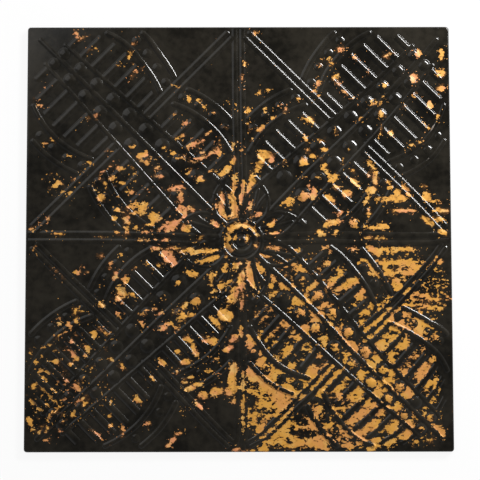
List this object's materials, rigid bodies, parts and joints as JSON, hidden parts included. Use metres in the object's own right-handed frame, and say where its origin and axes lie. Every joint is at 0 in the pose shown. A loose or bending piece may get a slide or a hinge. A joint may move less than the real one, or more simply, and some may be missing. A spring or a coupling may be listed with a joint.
{
  "type": "pressed tin ceiling tile",
  "caption": "Square ceiling tile of thin pressed tinplate: ribbed diagonal arms, fan arcs, bosses and a rosette in relief, turned-down edges, worn black paint over gold.",
  "frame": {"origin": "centre of the square tile, on the plane of the cut edge of its turned-down lip", "axes": "+Z out of the decorated face, +Y toward the edge that is at the top of the picture, +X toward the edge at its right"},
  "size_m": [0.6096, 0.6096, 0.013],
  "materials": {
    "worn_paint": "glossy black paint, flaked off to ochre gold under-paint"
  },
  "bodies": {
    "root": {"pressed_sheet": "worn_paint"}
  },
  "joints": []
}
